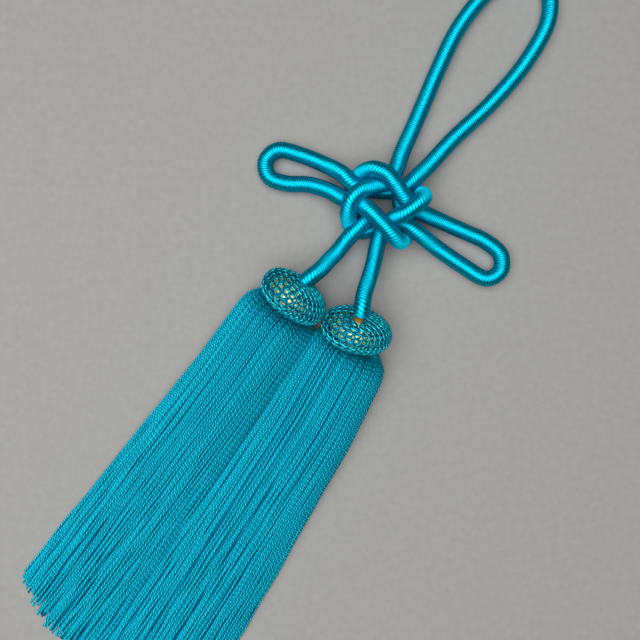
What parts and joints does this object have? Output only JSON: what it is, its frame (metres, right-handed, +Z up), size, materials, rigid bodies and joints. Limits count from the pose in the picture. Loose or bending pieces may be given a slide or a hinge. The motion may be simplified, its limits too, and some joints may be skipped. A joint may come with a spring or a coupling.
{
  "type": "double tassel on a knotted cord",
  "caption": "Pair of long thread tassels with netted bun heads, hung from one satin cord tied in an interlaced knot with ear loops and a hanging loop.",
  "frame": {"origin": "on the surface it lies on, under the middle of the box round both tassels, heads and skirts, without the cord", "axes": "+Z up from the surface; +Y towards the hanging loop's side of the picture, +X to its right"},
  "size_m": [0.2503, 0.3531, 0.0312],
  "materials": {
    "cord": "gimp cord wound with glossy rayon, satin sheen",
    "core": "core wound with gilt thread, metallic sheen",
    "net": "looped rayon thread, satin",
    "skirt": "two-ply twisted rayon threads, satin"
  },
  "bodies": {
    "root": {"cord": "cord", "core_1": "core", "net_1": "net", "skirt_1": "skirt", "core_2": "core", "net_2": "net", "skirt_2": "skirt"}
  },
  "joints": []
}
